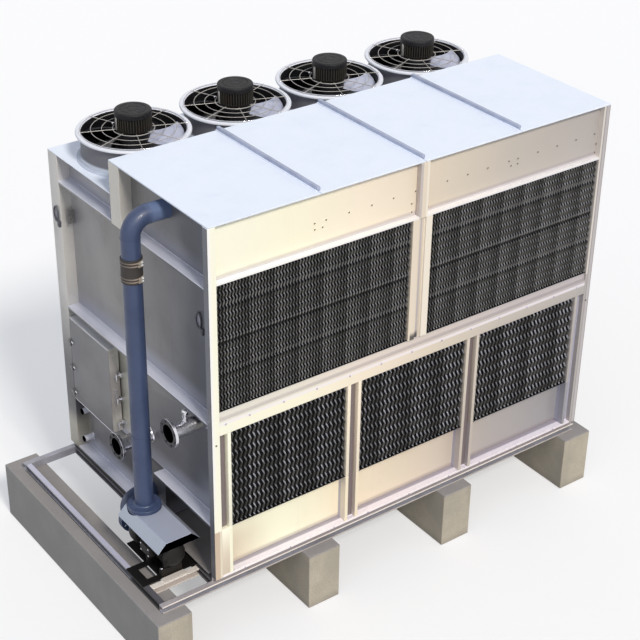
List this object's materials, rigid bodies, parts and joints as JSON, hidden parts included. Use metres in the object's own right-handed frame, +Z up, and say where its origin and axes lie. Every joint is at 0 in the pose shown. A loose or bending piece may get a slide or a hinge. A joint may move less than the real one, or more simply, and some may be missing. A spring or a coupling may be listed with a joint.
{
  "type": "crossflow cooling tower",
  "caption": "Crossflow cooling tower on a channel skid and concrete plinths, with louvred air inlets, top fans, a spray pump with riser pipe and a hinged access door.",
  "frame": {"origin": "centre of the plinths' footprint, on the ground", "axes": "+Z up, -Y towards the louvred inlet side, -X towards the pump end, X along the length"},
  "size_m": [4.325, 2.44, 3.626],
  "materials": {
    "concrete": "matte",
    "cream_steel": "satin",
    "grey_steel": "satin",
    "galvanised_steel": "satin",
    "screen_plastic": "matte",
    "white_roof": "satin",
    "seam_steel": "satin",
    "stack_plastic": "satin",
    "motor_black": "satin",
    "blade_black": "satin",
    "guard_wire": "satin",
    "blue_pipe": "satin",
    "rubber": "matte",
    "stainless": "satin",
    "hood_sheet": "satin"
  },
  "bodies": {
    "tower": {"box_back_wall": "grey_steel", "door_hinges": "stainless", "fan_guards": "guard_wire", "fan_motor_1": "motor_black", "fan_motor_2": "motor_black", "fan_motor_3": "motor_black", "fan_motor_4": "motor_black", "fan_stack_1": "stack_plastic", "fan_stack_2": "stack_plastic", "fan_stack_3": "stack_plastic", "fan_stack_4": "stack_plastic", "fill_pack": "screen_plastic", "front_fascia": "cream_steel", "front_left_post": "cream_steel", "front_mid_rail": "cream_steel", "front_middle_post": "cream_steel", "front_right_post": "cream_steel", "inlet_frame": "cream_steel", "inlet_nozzle": "stainless", "left_door_header": "grey_steel", "left_lower_panel": "grey_steel", "left_middle_panel": "grey_steel", "left_sump_panel": "grey_steel", "left_upper_panels": "grey_steel", "lifting_lugs": "stainless", "lower_panels": "cream_steel", "lower_screens": "screen_plastic", "outlet_nozzle": "stainless", "plinth_1": "concrete", "plinth_2": "concrete", "plinth_3": "concrete", "plinth_4": "concrete", "pump_base": "motor_black", "pump_hood": "hood_sheet", "pump_motor": "motor_black", "pump_recess": "grey_steel", "pump_volute": "blue_pipe", "rear_panels": "grey_steel", "rear_posts": "grey_steel", "right_end_panels": "grey_steel", "riser_coupling": "rubber", "riser_elbow": "blue_pipe", "riser_pipe": "blue_pipe", "roof_seams": "seam_steel", "roof_sheets": "white_roof", "skid_bay_beam": "galvanised_steel", "skid_front_beam": "galvanised_steel", "skid_left_beam": "galvanised_steel", "skid_middle_beam": "galvanised_steel", "skid_rear_beam": "galvanised_steel", "skid_right_beam": "galvanised_steel", "suction_elbow": "blue_pipe", "sump_floor": "grey_steel", "upper_screens": "screen_plastic"},
    "door": {"access_door": "grey_steel"},
    "fan_1": {"fan_impeller_1": "blade_black"},
    "fan_2": {"fan_impeller_2": "blade_black"},
    "fan_3": {"fan_impeller_3": "blade_black"},
    "fan_4": {"fan_impeller_4": "blade_black"}
  },
  "joints": [
    {"name": "access_door_hinge", "type": "hinge", "parent": "tower", "child": "door", "pos_m": [-1.6175, 0.945, 1.1], "axis": [0, 0, -1], "range_deg": [0, 100]},
    {"name": "fan_1_spin", "type": "hinge", "parent": "tower", "child": "fan_1", "pos_m": [-1.1265, 0.618, 3.34], "axis": [0, 0, 1], "continuous": true},
    {"name": "fan_2_spin", "type": "hinge", "parent": "tower", "child": "fan_2", "pos_m": [-0.2285, 0.618, 3.34], "axis": [0, 0, 1], "continuous": true},
    {"name": "fan_3_spin", "type": "hinge", "parent": "tower", "child": "fan_3", "pos_m": [0.6695, 0.618, 3.34], "axis": [0, 0, 1], "continuous": true},
    {"name": "fan_4_spin", "type": "hinge", "parent": "tower", "child": "fan_4", "pos_m": [1.5675, 0.618, 3.34], "axis": [0, 0, 1], "continuous": true}
  ]
}
